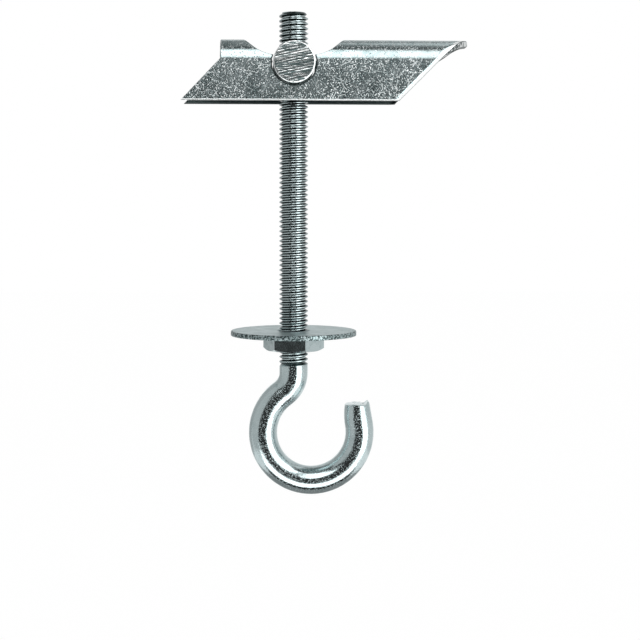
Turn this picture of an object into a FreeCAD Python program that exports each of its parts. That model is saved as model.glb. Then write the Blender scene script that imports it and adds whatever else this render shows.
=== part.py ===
"""Ceiling hook on a tilting toggle: a folded channel, a cross nut, a threaded hook, a washer and a thin nut.

Millimetres. The origin is on the rod's axis, in the plane of the channel's lower edges, which rest on the board.
+Z is up, +X runs towards the channel's long arm and +Y along the cross nut.
"""
import FreeCAD, Part
import os

import Sketcher
from FreeCAD import Rotation, Vector

SIZES = (
    ("thread_diameter", 6.0, "outside diameter of the rod's thread"),
    ("thread_length", 72.7, "length of the thread, from the rod's upper end"),
    ("thread_pitch", 1.0, "distance from one crest of the thread to the next"),
    ("thread_depth", 0.6, "depth of the thread, from crest to root"),
    ("stub_length", 10.6, "rod standing above the pivot axis"),
    ("wire_diameter", 5.9, "diameter of the plain wire of the hook"),
    ("shank_length", 1.3, "straight plain shank between thread and neck"),
    ("neck_radius", 5.4, "centreline radius of the bend above the bowl"),
    ("bowl_radius", 7.1, "inside radius of the hook's bowl"),
    ("bowl_offset", 3.7, "distance of the bowl's centre from the rod's axis"),
    ("tip_lean", 10.0, "lean of the hook's tip towards the rod, in degrees"),
    ("tip_length", 4.1, "straight length of the tip"),
    ("tip_chamfer", 0.3, "chamfer on the cropped end of the tip"),
    ("pivot_height", 7.6, "pivot axis above the channel's lower edges"),
    ("cross_nut_diameter", 8.5, "diameter of the cross nut"),
    ("cross_nut_overhang", 1.3, "cross nut standing out of each wall"),
    ("cross_nut_chamfer", 0.4, "chamfer on the ends of the cross nut"),
    ("thread_clearance", 0.05, "radial clearance of the nuts' holes on the rod"),
    ("pivot_clearance", 0.05, "radial clearance of the notches on the cross nut"),
    ("channel_width", 12.0, "outside width of the channel"),
    ("channel_height", 12.5, "outside height of the channel"),
    ("sheet_thickness", 1.2, "thickness of the folded sheet"),
    ("bend_radius", 2.2, "inside radius of the two folds"),
    ("short_arm_foot", 22.8, "lower tip of the short arm, from the rod's axis"),
    ("short_arm_web", 14.9, "web end of the short arm, from the rod's axis"),
    ("long_arm_foot", 21.3, "lower corner of the long arm, from the rod's axis"),
    ("long_arm_corner", 0.7, "corner cut on the web end of the long arm"),
    ("window_clearance", 0.4, "gap between the window's ends and the turning rod"),
    ("thread_below_nut", 3.4, "thread showing below the hexagon nut"),
    ("washer_diameter", 26.0, "outside diameter of the washer"),
    ("washer_thickness", 1.0, "thickness of the washer"),
    ("washer_clearance", 0.3, "radial clearance of the washer's hole on the rod"),
    ("washer_chamfer", 0.15, "chamfer on the washer's outer edges"),
    ("nut_width", 11.0, "width of the hexagon nut across its flats"),
    ("nut_height", 3.1, "height of the hexagon nut"),
    ("nut_chamfer", 30.0, "slope of the nut's corner chamfers, in degrees"),
    ("nut_turn", -9.0, "turn of a nut corner from +X, in degrees"),
)

# Lengths that several pieces share, written with the sizes above
ROD_TOP = "(Sizes.pivot_height + Sizes.stub_length)"
THREAD_END = f"({ROD_TOP} - Sizes.thread_length)"
NECK_TOP = f"({THREAD_END} - Sizes.shank_length)"
NUT_FOOT = f"({THREAD_END} + Sizes.thread_below_nut)"
WASHER_FOOT = f"({NUT_FOOT} + Sizes.nut_height)"
THREAD_HOLE = "(Sizes.thread_diameter / 2 + Sizes.thread_clearance)"
RING_RADIUS = "(Sizes.bowl_radius + Sizes.wire_diameter / 2)"
FOLD_OUTSIDE = "(Sizes.bend_radius + Sizes.sheet_thickness)"
FOLD_LINE = f"(Sizes.channel_height - {FOLD_OUTSIDE})"
FOLD_MIDDLE = f"(Sizes.channel_width / 2 - {FOLD_OUTSIDE})"
FOLD_RUN = "(pi / 2 * (Sizes.bend_radius + Sizes.sheet_thickness / 2))"
WEB_INSIDE = "(Sizes.channel_height - Sizes.sheet_thickness)"
THREAD_ROOT = "(Sizes.thread_diameter / 2 - Sizes.thread_depth)"
THREAD_TURNS = "floor(Sizes.thread_length / Sizes.thread_pitch - 0.5)"
WEB_RISE = f"({WEB_INSIDE} - Sizes.pivot_height)"
WINDOW_HALF = f"(sqrt(Sizes.stub_length^2 + {THREAD_ROOT}^2 - {WEB_RISE}^2) + Sizes.window_clearance)"
WINDOW_FOOT = f"({WINDOW_HALF} - {FOLD_RUN})"
LONG_FOLD_FOOT = f"(Sizes.long_arm_foot + {FOLD_LINE})"
LONG_FOLD_TOP = f"({LONG_FOLD_FOOT} + {FOLD_RUN})"
LONG_ARM_WEB = f"({LONG_FOLD_TOP} + Sizes.long_arm_corner)"

OVERCUT = 1.0
QUARTER_TURN = 0.25
RIB_SIDES = 10

doc = FreeCAD.newDocument("SwagHook")


def make_sheet():
    """Driving dimensions: name, value and meaning, one row each."""
    sheet = doc.addObject("Spreadsheet::Sheet", "Sizes")
    for row, (alias, value, meaning) in enumerate(SIZES, start=1):
        sheet.set(f"A{row}", alias)
        sheet.set(f"B{row}", str(value))
        sheet.set(f"C{row}", meaning)
        sheet.setAlias(f"B{row}", alias)
    doc.recompute()
    return sheet


sheet = make_sheet()


def number(expression):
    """Value of an expression on the sheet's sizes."""
    value = sheet.evalExpression(expression)
    return float(getattr(value, "Value", value))


def bind(target, **expressions):
    """Bind properties of an object to expressions on the sheet's sizes."""
    for prop, expression in expressions.items():
        target.setExpression(prop, expression)


def make_body(label, height="0"):
    """Body of one sub-part, set at a height on the rod's axis."""
    body = doc.addObject("PartDesign::Body", label)
    body.Label = label
    body.setExpression("Placement.Base.z", height)
    return body


def origin_feature(body, role):
    """Plane or axis of the body's own origin."""
    return next(item for item in body.Origin.OriginFeatures if item.Role == role)


def make_sketch(body, name, role, y="0", z="0"):
    """Sketch on one of the body's origin planes, moved within the plane (y) and off it (z)."""
    sketch = body.newObject("Sketcher::SketchObject", name)
    sketch.AttachmentSupport = (origin_feature(body, role), [""])
    sketch.MapMode = "FlatFace"
    sketch.setExpression("AttachmentOffset.Base.y", y)
    sketch.setExpression("AttachmentOffset.Base.z", z)
    return sketch


def dimension(sketch, kind, refs, expression):
    """Dimensional constraint bound to an expression."""
    index = sketch.addConstraint(Sketcher.Constraint(kind, *refs, number(expression)))
    sketch.setExpression(f"Constraints[{index}]", expression)


def place_point(sketch, geometry, end, x, y):
    """Fix one end of a line or arc at a point given by two expressions."""
    dimension(sketch, "DistanceX", (-1, 1, geometry, end), x)
    dimension(sketch, "DistanceY", (-1, 1, geometry, end), y)


def draw_outline(sketch, corners, arcs=None):
    """Closed outline through corners given by expressions.

    arcs names the sides that are arcs, by the index of their first corner, with a radius and a turn: 1 for
    an arc that turns left along the outline, -1 for one that turns right.
    """
    arcs = arcs or {}
    points = [Vector(number(x), number(y), 0) for x, y in corners]
    ends = []
    for index, (x, y) in enumerate(corners):
        start = points[index]
        stop = points[(index + 1) % len(points)]
        if index in arcs:
            radius, turn = arcs[index]
            geometry = sketch.addGeometry(arc_between(start, stop, number(radius), turn))
            ends.append((geometry, (1, 2) if turn > 0 else (2, 1)))
            dimension(sketch, "Radius", (geometry,), radius)
        else:
            ends.append((sketch.addGeometry(Part.LineSegment(start, stop)), (1, 2)))
        place_point(sketch, ends[-1][0], ends[-1][1][0], x, y)
    for index, (geometry, (_, last)) in enumerate(ends):
        following, (first, _) = ends[(index + 1) % len(ends)]
        sketch.addConstraint(Sketcher.Constraint("Coincident", geometry, last, following, first))


def arc_between(start, stop, radius, turn):
    """Arc of less than half a turn from start to stop, turning left (1) or right (-1)."""
    chord = stop - start
    left = Vector(-chord.y, chord.x, 0).normalize()
    rise = (radius**2 - chord.Length**2 / 4) ** 0.5
    centre = (start + stop) / 2 + left * (turn * rise)
    middle = centre - left * (turn * radius)
    first, last = (start, stop) if turn > 0 else (stop, start)
    return Part.Arc(first, middle, last)


def draw_circle(sketch, radius, y="0"):
    """Circle on the sketch's vertical axis."""
    circle = sketch.addGeometry(Part.Circle(Vector(0, number(y), 0), Vector(0, 0, 1), number(radius)))
    dimension(sketch, "Radius", (circle,), radius)
    dimension(sketch, "DistanceX", (-1, 1, circle, 3), "0")
    dimension(sketch, "DistanceY", (-1, 1, circle, 3), y)


def add_feature(body, kind, name, profile, **expressions):
    """Feature on a profile sketch, with its sizes bound to expressions."""
    feature = body.newObject(f"PartDesign::{kind}", name)
    feature.Profile = profile
    bind(feature, **expressions)
    return feature


def cut_through(body, name, profile):
    """Pocket through the whole body, both ways from its sketch; it has to remove material."""
    doc.recompute()
    before = body.Shape.Volume
    pocket = add_feature(body, "Pocket", name, profile)
    pocket.SideType = "Symmetric"
    pocket.Type = "ThroughAll"
    doc.recompute()
    if body.Shape.Volume >= before:
        raise RuntimeError(f"{name} cuts nothing")
    return pocket


def chamfer_edges(body, name, base, wanted, size):
    """Chamfer on the circular edges of a feature whose centre meets a test."""
    doc.recompute()
    names = [
        f"Edge{index}"
        for index, edge in enumerate(base.Shape.Edges, start=1)
        if isinstance(edge.Curve, Part.Circle) and edge.isClosed() and wanted(edge)
    ]
    chamfer = body.newObject("PartDesign::Chamfer", name)
    chamfer.Base = (base, names)
    bind(chamfer, Size=size)
    return chamfer


def make_channel():
    """Folded channel: U section, sloping ends, window in the web and a round notch in each wall."""
    body = make_body("toggle_channel")
    section = make_sketch(body, "ChannelSection", "YZ_Plane", z="-Sizes.short_arm_foot")
    half = "Sizes.channel_width / 2"
    inner = f"({half} - Sizes.sheet_thickness)"
    top = "Sizes.channel_height"
    draw_outline(
        section,
        (
            (half, "0"),
            (half, FOLD_LINE),
            (FOLD_MIDDLE, top),
            (f"-{FOLD_MIDDLE}", top),
            (f"-{half}", FOLD_LINE),
            (f"-{half}", "0"),
            (f"-{inner}", "0"),
            (f"-{inner}", FOLD_LINE),
            (f"-{FOLD_MIDDLE}", WEB_INSIDE),
            (FOLD_MIDDLE, WEB_INSIDE),
            (inner, FOLD_LINE),
            (inner, "0"),
        ),
        {
            1: (FOLD_OUTSIDE, 1),
            3: (FOLD_OUTSIDE, 1),
            7: ("Sizes.bend_radius", -1),
            9: ("Sizes.bend_radius", -1),
        },
    )
    add_feature(body, "Pad", "FoldedSheet", section, Length=f"Sizes.short_arm_foot + {LONG_ARM_WEB}")

    short_end = make_sketch(body, "ShortArmEnd", "XZ_Plane")
    outside = f"-Sizes.short_arm_foot - {OVERCUT}"
    above = f"Sizes.channel_height + {OVERCUT}"
    draw_outline(
        short_end,
        (
            ("-Sizes.short_arm_foot", "0"),
            ("-Sizes.short_arm_web", FOLD_LINE),
            ("-Sizes.short_arm_web", above),
            (outside, above),
            (outside, "0"),
        ),
    )
    cut_through(body, "ShortArmSlope", short_end)

    long_end = make_sketch(body, "LongArmEnd", "XZ_Plane")
    beyond = f"{LONG_ARM_WEB} + {OVERCUT}"
    draw_outline(
        long_end,
        (
            ("Sizes.long_arm_foot", "0"),
            (beyond, "0"),
            (beyond, FOLD_LINE),
            (LONG_FOLD_FOOT, FOLD_LINE),
        ),
    )
    cut_through(body, "LongArmSlope", long_end)

    notch = make_sketch(body, "NotchCircle", "XZ_Plane")
    draw_circle(notch, "Sizes.cross_nut_diameter / 2 + Sizes.pivot_clearance", y="Sizes.pivot_height")
    cut_through(body, "Notches", notch)

    web_cut = make_sketch(body, "WindowInWeb", "XY_Plane", z=FOLD_LINE)
    rectangle = ((WINDOW_HALF, 1), (WINDOW_HALF, -1), (f"-{WINDOW_HALF}", -1), (f"-{WINDOW_HALF}", 1))
    draw_outline(web_cut, [(x, f"{side} * {FOLD_MIDDLE}") for x, side in rectangle])
    web_window = add_feature(body, "Pocket", "WebWindow", web_cut)
    web_window.Reversed = True
    web_window.Type = "ThroughAll"

    corner_cut = make_sketch(body, "WebCorners", "XY_Plane", z=FOLD_LINE)
    narrow = f"({FOLD_MIDDLE} - Sizes.long_arm_corner)"
    draw_outline(
        corner_cut,
        (
            (LONG_FOLD_TOP, FOLD_MIDDLE),
            (LONG_ARM_WEB, narrow),
            (beyond, narrow),
            (beyond, FOLD_MIDDLE),
        ),
    )
    web_corner = add_feature(body, "Pocket", "WebCorner", corner_cut)
    web_corner.Reversed = True
    web_corner.Type = "ThroughAll"

    fold_cuts = [
        fold_cut(body, "LongArmFold", (LONG_FOLD_FOOT, beyond), True),
        fold_cut(body, "WindowLongFold", (f"-{FOLD_RUN}", WINDOW_FOOT), True),
        fold_cut(body, "WindowShortFold", (f"-{WINDOW_FOOT}", FOLD_RUN), False),
    ]
    mirrored = body.newObject("PartDesign::Mirrored", "BackFold")
    mirrored.Originals = [web_corner] + fold_cuts
    mirrored.MirrorPlane = (origin_feature(body, "XZ_Plane"), [""])
    body.Tip = mirrored
    return body


def fold_cut(body, name, span, rising):
    """Slanted edge of the flat blank where it runs over the front fold.

    A strip of the fold is cut along a quarter turn about the fold's axis. It moves along X by the length of
    the fold, so the edge lies at 45 degrees on the flat blank: towards +X (rising) or towards -X.
    """
    profile = make_sketch(body, f"{name}Strip", "XY_Plane", y=f"-{FOLD_MIDDLE}", z=FOLD_LINE)
    left, right = span
    near = f"-(Sizes.bend_radius - {OVERCUT})"
    far = f"-({FOLD_OUTSIDE} + {OVERCUT})"
    draw_outline(profile, ((left, far), (right, far), (right, near), (left, near)))
    doc.recompute()
    before = body.Shape.Volume
    helix = add_feature(body, "SubtractiveHelix", name, profile)
    helix.ReferenceAxis = (profile, ["H_Axis"])
    helix.Mode = "height-turns-angle"
    helix.Turns = QUARTER_TURN
    helix.LeftHanded = rising
    helix.Reversed = not rising
    bind(helix, Height=FOLD_RUN)
    doc.recompute()
    if body.Shape.Volume >= before:
        raise RuntimeError(f"{name} cuts nothing")
    return helix


def make_cross_nut():
    """Round cross bar with chamfered ends and a hole for the rod."""
    body = make_body("cross_nut", "Sizes.pivot_height")
    section = make_sketch(body, "BarSection", "XZ_Plane")
    draw_circle(section, "Sizes.cross_nut_diameter / 2")
    bar = add_feature(body, "Pad", "Bar", section, Length="Sizes.channel_width + 2 * Sizes.cross_nut_overhang")
    bar.SideType = "Symmetric"
    chamfer_edges(body, "BarEnds", bar, lambda edge: True, "Sizes.cross_nut_chamfer")
    hole = make_sketch(body, "RodHole", "XY_Plane")
    draw_circle(hole, THREAD_HOLE)
    cut_through(body, "ThreadedHole", hole)
    return body


def make_hook_rod():
    """Threaded rod that bends into an open round hook."""
    body = make_body("hook_rod")
    body.BaseFeature = make_thread()
    path = make_sketch(body, "HookPath", "XZ_Plane")
    draw_hook_path(path)
    wire_section = make_sketch(body, "WireSection", "XY_Plane", z=THREAD_END)
    draw_circle(wire_section, "Sizes.wire_diameter / 2")
    doc.recompute()
    wire = add_feature(body, "AdditivePipe", "HookWire", wire_section)
    wire.Spine = (path, [f"Edge{index}" for index in range(1, len(path.Shape.Edges) + 1)])
    doc.recompute()
    tip = path.getPoint(3, 2)
    tip_centre = Vector(tip.x, 0, tip.y)
    chamfer_edges(
        body,
        "TipEnd",
        wire,
        lambda edge: edge.Curve.Center.distanceToPoint(tip_centre) < number("Sizes.tip_chamfer"),
        "Sizes.tip_chamfer",
    )
    return body


def make_thread():
    """Thread as ribs at its true pitch and depth, few-sided to keep the mesh light, with a plain lead on top."""
    root = number(THREAD_ROOT)
    crest = number("Sizes.thread_diameter / 2")
    pitch = number("Sizes.thread_pitch")
    levels = [(root, 0)]
    for turn in range(int(number(THREAD_TURNS))):
        levels += [(crest, (turn + 0.5) * pitch), (root, (turn + 1) * pitch)]
    levels.append((root, number("Sizes.thread_length")))
    rings = [ring_corners(radius, number(THREAD_END) + height) for radius, height in levels]
    faces = [flat_face(rings[0]), flat_face(rings[-1])]
    for lower, upper in zip(rings, rings[1:]):
        for side in range(RIB_SIDES):
            faces.append(flat_face((lower[side - 1], lower[side], upper[side], upper[side - 1])))
    shell = Part.makeShell(faces)
    shell.sewShape()
    thread = doc.addObject("Part::Feature", "Thread")
    thread.Shape = Part.makeSolid(shell)
    return thread


def ring_corners(radius, height):
    """Corners of a regular ring about the rod's axis, the first on +X."""
    turns = [Rotation(Vector(0, 0, 1), 360 * side / RIB_SIDES) for side in range(RIB_SIDES)]
    return [turn.multVec(Vector(radius, 0, height)) for turn in turns]


def flat_face(corners):
    """Flat face between corners."""
    return Part.Face(Part.makePolygon([*corners, corners[0]]))


def draw_hook_path(path):
    """Centreline of the hook: shank, neck bend, bowl and straight tip, each tangent to the next."""
    neck_radius = number("Sizes.neck_radius")
    ring_radius = number(RING_RADIUS)
    lean = number("Sizes.tip_lean")
    neck_turn = number(f"acos((Sizes.bowl_offset + Sizes.neck_radius) / (Sizes.neck_radius + {RING_RADIUS}))")
    across = Vector(1, 0, 0)
    up = Vector(0, 0, 1)
    shank_top = Vector(0, number(THREAD_END), 0)
    shank_foot = Vector(0, number(NECK_TOP), 0)
    neck_centre = shank_foot - across * neck_radius
    to_ring = Rotation(up, -neck_turn).multVec(across)
    ring_centre = neck_centre + to_ring * (neck_radius + ring_radius)
    ring_start = ring_centre - to_ring * ring_radius
    ring_foot = ring_centre - Vector(0, ring_radius, 0)
    ring_end = ring_centre + Rotation(up, lean).multVec(across) * ring_radius
    neck_middle = neck_centre + Rotation(up, -neck_turn / 2).multVec(across) * neck_radius
    tip_end = ring_end + Rotation(up, lean).multVec(Vector(0, 1, 0)) * number("Sizes.tip_length")

    shank = path.addGeometry(Part.LineSegment(shank_top, shank_foot))
    neck = path.addGeometry(Part.Arc(ring_start, neck_middle, shank_foot))
    ring = path.addGeometry(Part.Arc(ring_start, ring_foot, ring_end))
    tip = path.addGeometry(Part.LineSegment(ring_end, tip_end))
    place_point(path, shank, 1, "0", THREAD_END)
    place_point(path, shank, 2, "0", NECK_TOP)
    path.addConstraint(Sketcher.Constraint("Tangent", shank, 2, neck, 2))
    path.addConstraint(Sketcher.Constraint("Tangent", neck, 1, ring, 1))
    path.addConstraint(Sketcher.Constraint("Tangent", ring, 2, tip, 1))
    dimension(path, "Radius", (neck,), "Sizes.neck_radius")
    dimension(path, "Radius", (ring,), RING_RADIUS)
    dimension(path, "DistanceX", (-1, 1, ring, 3), "Sizes.bowl_offset")
    dimension(path, "DistanceX", (tip, 2, tip, 1), "Sizes.tip_length * sin(Sizes.tip_lean * 1 deg)")
    dimension(path, "DistanceY", (tip, 1, tip, 2), "Sizes.tip_length * cos(Sizes.tip_lean * 1 deg)")


def make_washer():
    """Flat round washer with chamfered outer edges."""
    body = make_body("washer", WASHER_FOOT)
    section = make_sketch(body, "WasherSection", "XZ_Plane")
    hole = "(Sizes.thread_diameter / 2 + Sizes.washer_clearance)"
    rim = "Sizes.washer_diameter / 2"
    edge = "Sizes.washer_chamfer"
    draw_outline(
        section,
        (
            (hole, "0"),
            (f"{rim} - {edge}", "0"),
            (rim, edge),
            (rim, f"Sizes.washer_thickness - {edge}"),
            (f"{rim} - {edge}", "Sizes.washer_thickness"),
            (hole, "Sizes.washer_thickness"),
        ),
    )
    disc = add_feature(body, "Revolution", "Disc", section)
    disc.ReferenceAxis = (section, ["V_Axis"])
    return body


def make_hex_nut():
    """Thin hexagon nut with its corners chamfered above and below."""
    body = make_body("hex_nut", NUT_FOOT)
    bind(body, **{"Placement.Rotation.Yaw": "Sizes.nut_turn"})
    section = make_sketch(body, "Hexagon", "XY_Plane")
    corner = "(Sizes.nut_width / sqrt(3))"
    draw_outline(
        section, [(f"{corner} * cos({turn} deg)", f"{corner} * sin({turn} deg)") for turn in range(0, 360, 60)]
    )
    add_feature(body, "Pad", "NutBlock", section, Length="Sizes.nut_height")

    bevel = make_sketch(body, "CornerBevels", "XZ_Plane")
    flat = "Sizes.nut_width / 2"
    outside = f"({corner} + {OVERCUT})"
    rise = f"(({outside} - {flat}) * tan(Sizes.nut_chamfer * 1 deg))"
    draw_outline(bevel, ((flat, "0"), (outside, "0"), (outside, rise)))
    draw_outline(
        bevel,
        (
            (flat, "Sizes.nut_height"),
            (outside, f"Sizes.nut_height - {rise}"),
            (outside, "Sizes.nut_height"),
        ),
    )
    doc.recompute()
    before = body.Shape.Volume
    bevels = add_feature(body, "Groove", "Bevels", bevel)
    bevels.ReferenceAxis = (bevel, ["V_Axis"])
    doc.recompute()
    if body.Shape.Volume >= before:
        raise RuntimeError("the nut's bevels cut nothing")

    hole = make_sketch(body, "NutHole", "XY_Plane")
    draw_circle(hole, THREAD_HOLE)
    cut_through(body, "NutThread", hole)
    return body


def check_document(bodies):
    """Stop if an object failed or a sub-part isn't one valid solid."""
    for item in doc.Objects:
        if "Invalid" in item.State or "Error" in item.State:
            raise RuntimeError(f"{item.Name} failed: {item.State}")
    for body in bodies:
        shape = body.Shape
        if shape.isNull() or not shape.isValid() or len(shape.Solids) != 1:
            raise RuntimeError(f"{body.Label} isn't one valid solid")


def main():
    bodies = [make_channel(), make_cross_nut(), make_hook_rod(), make_washer(), make_hex_nut()]
    doc.recompute()
    check_document(bodies)
    os.makedirs("parts", exist_ok=True)
    for body in bodies:
        body.Shape.exportStep(f"parts/{body.Label}.step")
        box = body.Shape.optimalBoundingBox()
        print(f"{body.Label}: {body.Shape.Volume:.1f} mm3, {box.XMin:.2f}..{box.XMax:.2f}, "
              f"{box.YMin:.2f}..{box.YMax:.2f}, {box.ZMin:.2f}..{box.ZMax:.2f}")


main()
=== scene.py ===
"""Swag hook: five zinc-plated steel pieces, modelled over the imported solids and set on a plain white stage.

Lengths are metres, in the frame of the solids: the origin is on the rod's axis at the foot of the channel,
+Z is up, +X runs towards the channel's long arm and the picture is taken from the -Y side.
"""

from math import acos, cos, hypot, pi, radians, sin, sqrt, tan

import bmesh
import bpy
from bpy.props import FloatProperty, FloatVectorProperty, IntProperty, PointerProperty
from bpy.types import Operator, Panel, PropertyGroup
from mathutils import Matrix, Vector


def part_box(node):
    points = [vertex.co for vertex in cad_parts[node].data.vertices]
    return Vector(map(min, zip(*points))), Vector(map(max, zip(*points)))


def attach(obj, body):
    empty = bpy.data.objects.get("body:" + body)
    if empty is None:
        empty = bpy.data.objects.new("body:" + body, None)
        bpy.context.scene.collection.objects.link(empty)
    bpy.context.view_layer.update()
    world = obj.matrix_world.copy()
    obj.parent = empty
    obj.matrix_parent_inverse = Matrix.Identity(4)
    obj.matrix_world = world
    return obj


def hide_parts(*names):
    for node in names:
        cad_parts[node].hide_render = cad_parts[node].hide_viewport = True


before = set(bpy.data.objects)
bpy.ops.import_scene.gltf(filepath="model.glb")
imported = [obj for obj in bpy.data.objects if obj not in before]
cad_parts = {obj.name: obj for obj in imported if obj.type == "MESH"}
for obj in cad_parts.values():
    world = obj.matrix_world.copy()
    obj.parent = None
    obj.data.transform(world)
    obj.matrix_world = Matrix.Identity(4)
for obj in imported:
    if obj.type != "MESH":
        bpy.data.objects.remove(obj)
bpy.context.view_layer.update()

bl_info = {
    "name": "Swag hook",
    "version": (1, 0, 0),
    "blender": (4, 5, 0),
    "location": "View3D > Sidebar > Swag hook",
    "description": "Models the five pieces of a swag hook with a tilting toggle and sets up its studio",
    "category": "Add Mesh",
}

MM = 0.001
FULL_TURN = 2 * pi
WELD = 0.0005 * MM
# Part of a normal along an axis above which a face faces that way
FACING = 0.9
# Part of a normal along Z below which a face counts as upright
UPRIGHT = 0.8
# Depth of punches and cutters, in thicknesses of the sheet
PUNCH_DEPTH = 3


def solid_box(node):
    """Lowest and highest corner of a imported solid, to a hundredth of a millimetre."""
    return tuple(Vector(round(value, 5) for value in corner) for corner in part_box(node))


CHANNEL_LOW, CHANNEL_HIGH = solid_box("toggle_channel")
BAR_LOW, BAR_HIGH = solid_box("cross_nut")
ROD_HIGH = solid_box("hook_rod")[1]
WASHER_LOW, WASHER_HIGH = solid_box("washer")
NUT_LOW, NUT_HIGH = solid_box("hex_nut")


# Settings that a user would change

def length(name, description, default):
    """Property for a length."""
    return FloatProperty(name=name, description=description, default=default, unit="LENGTH", precision=5)


def angle(name, description, degrees):
    """Property for an angle."""
    return FloatProperty(name=name, description=description, default=radians(degrees), subtype="ANGLE")


def share(name, description, default):
    """Property for a share from 0 to 1."""
    return FloatProperty(name=name, description=description, default=default, min=0, max=1, subtype="FACTOR")


def colour(name, description, default):
    """Property for a colour."""
    return FloatVectorProperty(
        name=name, description=description, default=default, size=3, min=0, max=1, subtype="COLOR"
    )


def count(name, description, default):
    """Property for a number of steps."""
    return IntProperty(name=name, description=description, default=default, min=1)


class ChannelSettings(PropertyGroup):
    """Sizes of the folded channel"""

    half_width: length("Half width", "Outside of a wall from the middle", CHANNEL_HIGH.y)
    height: length("Height", "Outside height of the channel", CHANNEL_HIGH.z)
    sheet: length("Sheet", "Thickness of the sheet", 1.2 * MM)
    bend: length("Bend", "Inside radius of the folds", 3.0 * MM)
    short_foot: length("Short arm foot", "Lower tip of the short arm", -CHANNEL_LOW.x)
    short_web: length("Short arm web", "End of the web on the short arm", 14.9 * MM)
    long_foot: length("Long arm foot", "Lower corner of the long arm", 21.3 * MM)
    long_web: length("Long arm web", "End of the web on the long arm", CHANNEL_HIGH.x)
    window: length("Window", "Half length of the window in the web", 10.5 * MM)
    slot: length("Slot", "Half width of the window in the flat sheet", 6.7 * MM)
    notch: length("Notch", "Radius of the round notches", 4.5 * MM)
    drawn_width: length("Drawn width", "Strip along the long arm that the shear draws in", 1.0 * MM)
    drawn_depth: length("Drawn depth", "Depth to which the shear draws that strip in", 0.6 * MM)
    edge: length("Edge", "Rounding of the sheared edges", 0.15 * MM)
    fold_steps: count("Fold steps", "Facets round each fold", 14)


class BarSettings(PropertyGroup):
    """Sizes of the sawn cross nut"""

    radius: length("Radius", "Radius of the round bar", BAR_HIGH.x)
    half_length: length("Half length", "End of the bar from the middle", BAR_HIGH.y)
    height: length("Height", "Height of the bar's axis", (BAR_LOW.z + BAR_HIGH.z) / 2)
    chamfer: length("Chamfer", "Chamfer on the ends", 0.4 * MM)
    edge: length("Edge", "Rounding of the edges", 0.06 * MM)
    hole: length("Hole", "Radius of the hole for the rod", 3.05 * MM)
    mark_pitch: length("Mark pitch", "Distance from one saw mark to the next", 0.52 * MM)
    mark_depth: length("Mark depth", "Depth of a saw mark", 0.05 * MM)
    mark_rise: angle("Mark rise", "Slope of the saw marks", 13)


class RodSettings(PropertyGroup):
    """Sizes of the threaded hook"""

    top: length("Top", "Upper end of the rod", ROD_HIGH.z)
    thread: length("Thread", "Length of the thread", 72.7 * MM)
    radius: length("Radius", "Outside radius of the thread", 3.0 * MM)
    pitch: length("Pitch", "Rise of the thread in one turn", 1.0 * MM)
    depth: length("Depth", "Depth of the thread", 0.6 * MM)
    chamfer: length("Chamfer", "Chamfer on the upper end", 0.6 * MM)
    run_out: length("Run-out", "Length over which the thread fades out", 1.0 * MM)
    wire: length("Wire", "Radius of the plain wire", 2.95 * MM)
    shank: length("Shank", "Straight wire below the thread", 1.3 * MM)
    neck: length("Neck", "Centreline radius of the bend above the bowl", 5.4 * MM)
    bowl: length("Bowl", "Centreline radius of the bowl", 10.05 * MM)
    bowl_offset: length("Bowl offset", "Centre of the bowl from the rod's axis", 3.7 * MM)
    tip: length("Tip", "Straight length of the tip", 4.1 * MM)
    lean: angle("Lean", "Lean of the tip towards the rod", 10)
    burr: length("Burr", "Height of the burr on the cropped tip", 0.5 * MM)
    thread_steps: count("Thread steps", "Facets in one turn of the thread", 56)

    @property
    def thread_end(self):
        """Height of the lower end of the thread."""
        return self.top - self.thread


class WasherSettings(PropertyGroup):
    """Sizes of the stamped washer"""

    radius: length("Radius", "Outside radius", WASHER_HIGH.x)
    hole: length("Hole", "Radius of the hole", 3.3 * MM)
    low: length("Lower face", "Height of the lower face", WASHER_LOW.z)
    high: length("Upper face", "Height of the upper face", WASHER_HIGH.z)
    roll: length("Roll", "Radius of the edge rolled over by the stamp", 0.28 * MM)
    burr_edge: length("Burr edge", "Radius of the edge on the other side", 0.08 * MM)


class NutSettings(PropertyGroup):
    """Sizes of the hexagon nut"""

    width: length("Width", "Width across the flats", 11.0 * MM)
    low: length("Lower face", "Height of the lower face", NUT_LOW.z)
    high: length("Upper face", "Height of the upper face", NUT_HIGH.z)
    bevel: angle("Bevel", "Slope of the corner bevels", 30)
    turn: angle("Turn", "Turn of a corner from +X", -9)
    hole: length("Hole", "Radius of the hole", 3.05 * MM)
    mouth: length("Mouth", "Radius of the countersunk mouths of the hole", 3.4 * MM)
    edge: length("Edge", "Rounding of the edges", 0.07 * MM)


class FinishSettings(PropertyGroup):
    """Tones of the zinc plating, also used for painted shade and painted highlights"""

    bright: colour("Bright zinc", "Clean bright plating", (0.56, 0.655, 0.665))
    dull: colour("Dull zinc", "Dull grey plating", (0.285, 0.38, 0.385))
    # Also the painted shade inside the channel, round the notches, in the saw grooves and on the thread's
    # flanks
    pit_and_shade_tone: colour("Deep grey", "Grey in pits and saw marks", (0.045, 0.065, 0.065))
    # Also the painted highlights along the walls' feet and lower edges, on the drawn strip and on the bar's
    # chamfer rings
    scuff: colour("Scuff", "Scratches and rubbed spots", (0.90, 0.93, 0.93))


class StageSettings(PropertyGroup):
    """Camera, floor and lights"""

    lens: FloatProperty(name="Lens", description="Focal length", default=75.94, unit="CAMERA")
    place: FloatVectorProperty(
        name="Place",
        description="Place of the camera",
        default=(-0.0054, -0.2790, -0.0213),
        subtype="TRANSLATION",
    )
    shift: FloatProperty(name="Shift", description="Lens shift that frames the object high", default=-0.07)
    tilt: angle("Tilt", "Camera looking down", 2.93)
    swing: angle("Swing", "Camera turned to the left", -2.23)
    roll: angle("Roll", "Camera rolled", 0.08)
    floor: length("Floor", "Height of the floor", -0.42)
    plain_light: share("Plain light", "Strength of the white surroundings on dull surfaces", 0.7)


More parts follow.
